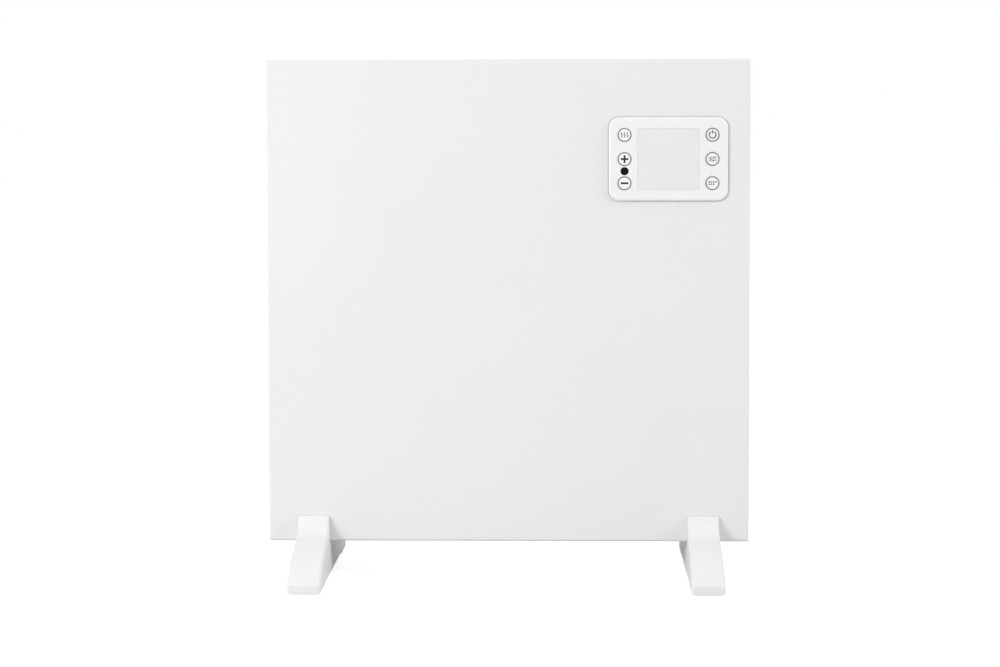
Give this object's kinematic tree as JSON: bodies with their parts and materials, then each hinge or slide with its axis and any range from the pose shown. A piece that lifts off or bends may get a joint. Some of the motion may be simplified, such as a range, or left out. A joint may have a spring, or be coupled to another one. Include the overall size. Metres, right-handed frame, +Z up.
{
  "type": "convector heater",
  "caption": "Free-standing electric convector heater with a flat square steel front, moulded feet and a corner control unit with display and push buttons.",
  "frame": {"origin": "on the floor, midway between the feet and midway along them", "axes": "+Z up, -Y towards the front that carries the control unit, +X to the viewer's right"},
  "size_m": [0.4, 0.22, 0.429],
  "materials": {
    "white_steel": "fine satin powder coat",
    "white_plastic": "moulded, light grain",
    "foot_plastic": "moulded, smooth satin",
    "button_plastic": "smooth satin",
    "display_lens": "clear hard coat over a pale screen",
    "dark_window": "polished dark lens",
    "grey_rubber": "matt",
    "zinc_steel": "bright zinc plate",
    "galvanised": "galvanised sheet",
    "aluminium": "extruded, plain",
    "reflector": "bright rolled sheet",
    "rod_steel": "heat-toned sheath",
    "ceramic": "unglazed ceramic",
    "board": "solder-masked laminate",
    "black_plastic": "moulded, fine grain",
    "white_connector": "moulded",
    "relay_case": "moulded case",
    "capacitor_case": "dipped case",
    "terminal_plastic": "moulded",
    "fuse_glass": "clear tube",
    "brass": "plain",
    "wire_brown": "insulation",
    "wire_blue": "insulation",
    "wire_earth": "insulation",
    "wire_grey": "insulation",
    "wire_white": "woven glass sleeve"
  },
  "bodies": {
    "casing": {"back_screws": "zinc_steel", "board_screws": "zinc_steel", "board_standoffs": "brass", "case_posts": "galvanised", "case_screws": "zinc_steel", "control_bezel": "white_plastic", "control_board": "board", "control_housing": "black_plastic", "control_screws": "zinc_steel", "cord_gland": "black_plastic", "cutout_link": "wire_white", "display_lens": "display_lens", "display_module": "white_connector", "earth_lead": "wire_earth", "earth_stud": "brass", "element_bracket_left": "galvanised", "element_bracket_right": "galvanised", "element_bushes": "ceramic", "element_fins": "aluminium", "element_lead_live": "wire_white", "element_lead_neutral": "wire_white", "element_rod": "rod_steel", "eye_receiver": "black_plastic", "eye_window": "dark_window", "filter_capacitor": "capacitor_case", "foot_left": "foot_plastic", "foot_right": "foot_plastic", "foot_screws": "zinc_steel", "foot_soles_left": "grey_rubber", "foot_soles_right": "grey_rubber", "front_panel": "white_steel", "gland_nut": "black_plastic", "heat_reflector": "reflector", "hex_nuts": "zinc_steel", "mains_fuse": "fuse_glass", "partition_grommet": "grey_rubber", "partition_plate": "galvanised", "power_board": "board", "power_module": "black_plastic", "push_switches": "black_plastic", "rear_cover": "white_steel", "relay": "relay_case", "room_sensor": "black_plastic", "sensor_clip": "white_connector", "sensor_lead": "wire_grey", "signal_connectors": "white_connector", "signal_ribbon": "wire_grey", "switch_blades": "brass", "switch_frame": "black_plastic", "switch_leads": "wire_brown", "terminal_block": "terminal_plastic", "thermal_cutout": "black_plastic"},
    "button_mode": {"button_mode": "button_plastic"},
    "button_plus": {"button_plus": "button_plastic"},
    "button_minus": {"button_minus": "button_plastic"},
    "button_power": {"button_power": "button_plastic"},
    "button_set": {"button_set": "button_plastic"},
    "button_week": {"button_week": "button_plastic"},
    "switch_rocker": {"switch_rocker": "black_plastic"}
  },
  "joints": [
    {"name": "button_mode_press", "type": "slide", "parent": "casing", "child": "button_mode", "axis": [0, 1, 0], "range_m": [0, 0.0008], "stiffness_N_per_m": 500, "springref_m": -0.001},
    {"name": "button_plus_press", "type": "slide", "parent": "casing", "child": "button_plus", "axis": [0, 1, 0], "range_m": [0, 0.0008], "stiffness_N_per_m": 500, "springref_m": -0.001},
    {"name": "button_minus_press", "type": "slide", "parent": "casing", "child": "button_minus", "axis": [0, 1, 0], "range_m": [0, 0.0008], "stiffness_N_per_m": 500, "springref_m": -0.001},
    {"name": "button_power_press", "type": "slide", "parent": "casing", "child": "button_power", "axis": [0, 1, 0], "range_m": [0, 0.0008], "stiffness_N_per_m": 500, "springref_m": -0.001},
    {"name": "button_set_press", "type": "slide", "parent": "casing", "child": "button_set", "axis": [0, 1, 0], "range_m": [0, 0.0008], "stiffness_N_per_m": 500, "springref_m": -0.001},
    {"name": "button_week_press", "type": "slide", "parent": "casing", "child": "button_week", "axis": [0, 1, 0], "range_m": [0, 0.0008], "stiffness_N_per_m": 500, "springref_m": -0.001},
    {"name": "switch_rock", "type": "hinge", "parent": "casing", "child": "switch_rocker", "pos_m": [0.1096, 0.023, 0.078], "axis": [-1, 0, 0], "range_deg": [0, 24]}
  ]
}
